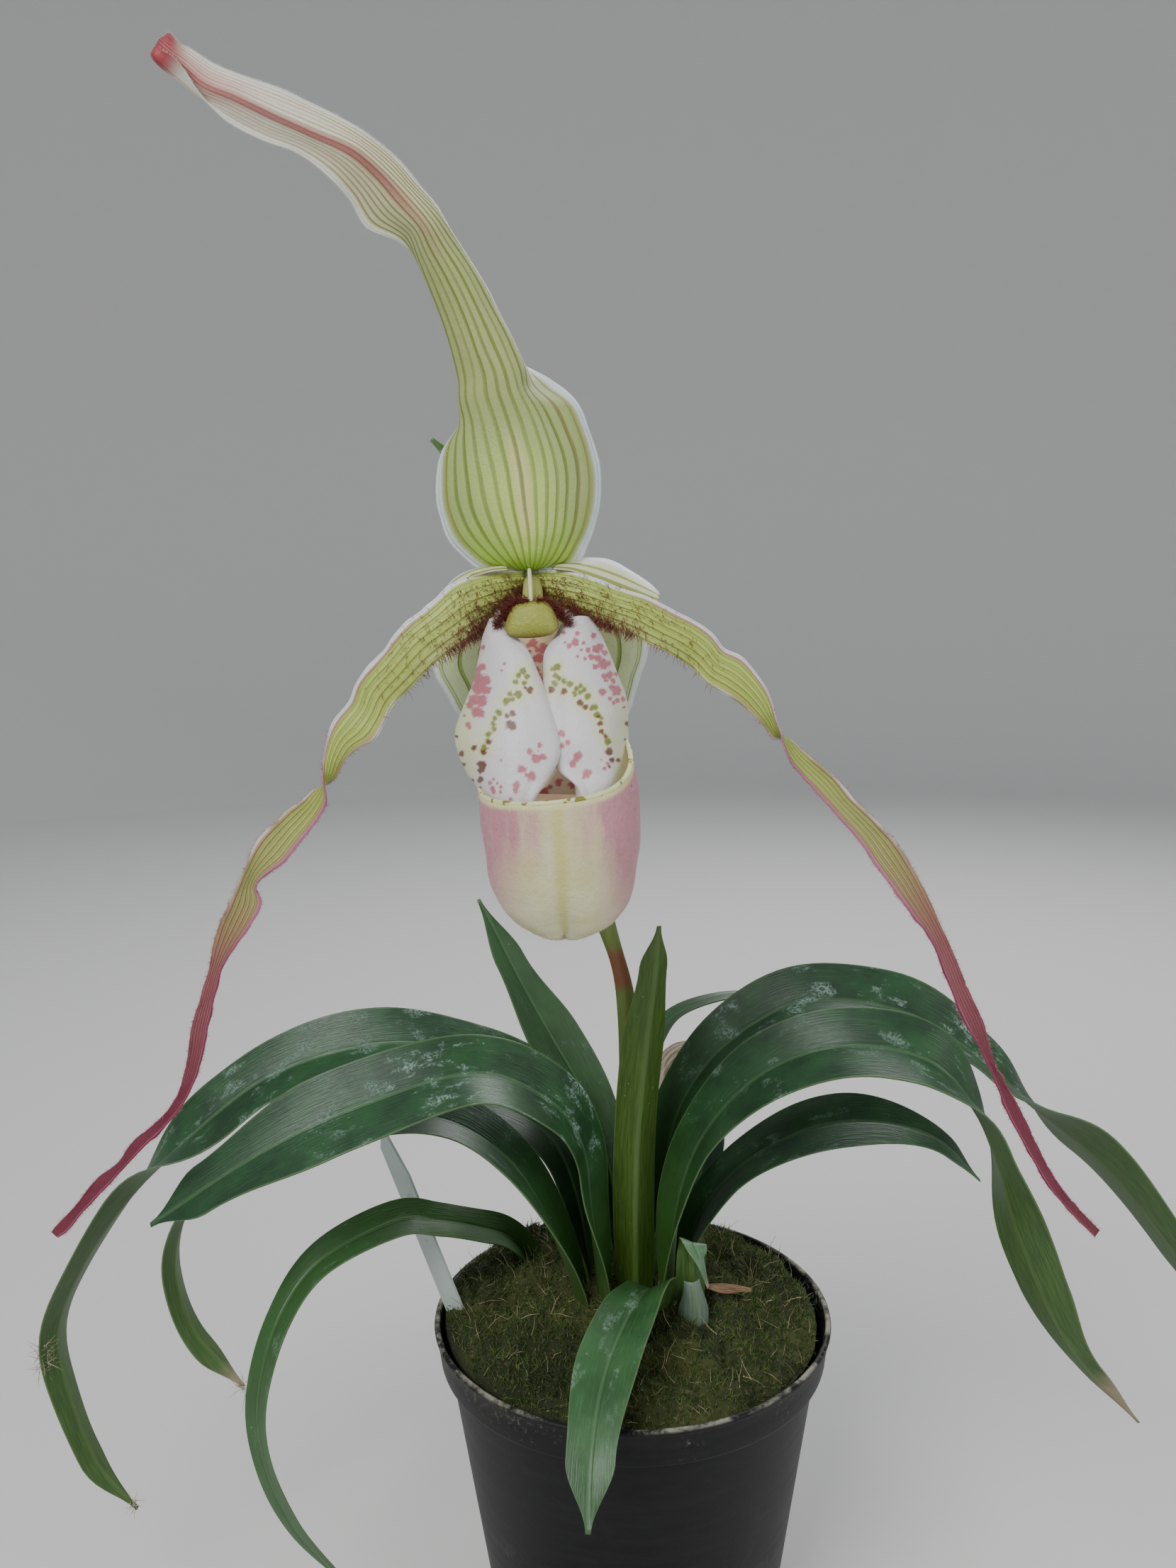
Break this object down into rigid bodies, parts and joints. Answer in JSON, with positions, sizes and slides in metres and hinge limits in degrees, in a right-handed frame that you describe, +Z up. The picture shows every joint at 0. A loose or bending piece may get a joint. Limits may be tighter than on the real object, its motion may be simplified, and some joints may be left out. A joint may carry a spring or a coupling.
{
  "type": "potted slipper orchid",
  "caption": "Phragmipedium orchid in a round black nursery pot: arching strap leaves, mossy soil, one slipper flower with long hanging petals and a tall tailed sepal.",
  "frame": {"origin": "centre of the underside of the pot, on the surface it stands on", "axes": "+Z up the plant, the flower and the leaning front leaf face -Y, +X to the right as seen from the front"},
  "size_m": [0.3152, 0.1385, 0.3802],
  "materials": {
    "pot_plastic": "satin",
    "bark_mix": "matte",
    "moss": "matte",
    "rhizome": "matte",
    "label_plastic": "satin",
    "leaf_green": "satin",
    "leaf_pale": "satin",
    "leaf_dry": "matte",
    "stem_green": "satin",
    "bract_green": "satin",
    "sepal": "satin",
    "petal": "satin",
    "lip": "satin",
    "staminode": "satin",
    "scrap": "matte"
  },
  "bodies": {
    "root": {"pot": "pot_plastic", "potting_mix": "bark_mix", "moss_cushion": "moss", "crown": "rhizome", "plant_label": "label_plastic", "leaf_left_upright": "leaf_green", "leaf_left_far": "leaf_green", "leaf_left_middle": "leaf_green", "leaf_left_front": "leaf_green", "leaf_left_lower": "leaf_green", "leaf_low": "leaf_green", "leaf_right_thin": "leaf_green", "leaf_right_top": "leaf_green", "leaf_right_broad": "leaf_green", "leaf_right_lower": "leaf_green", "leaf_back_short": "leaf_pale", "leaf_front": "leaf_green", "leaf_back_dead": "leaf_dry", "shoot_leaf": "leaf_pale", "shoot_sheath": "leaf_pale", "flower_stem": "stem_green", "ovary": "stem_green", "stem_bract": "bract_green", "floral_bract": "bract_green", "dorsal_sepal": "sepal", "synsepal": "sepal", "petal_left": "petal", "petal_right": "petal", "lip_pouch": "lip", "column": "staminode", "dry_leaf_scrap": "scrap"}
  },
  "joints": []
}
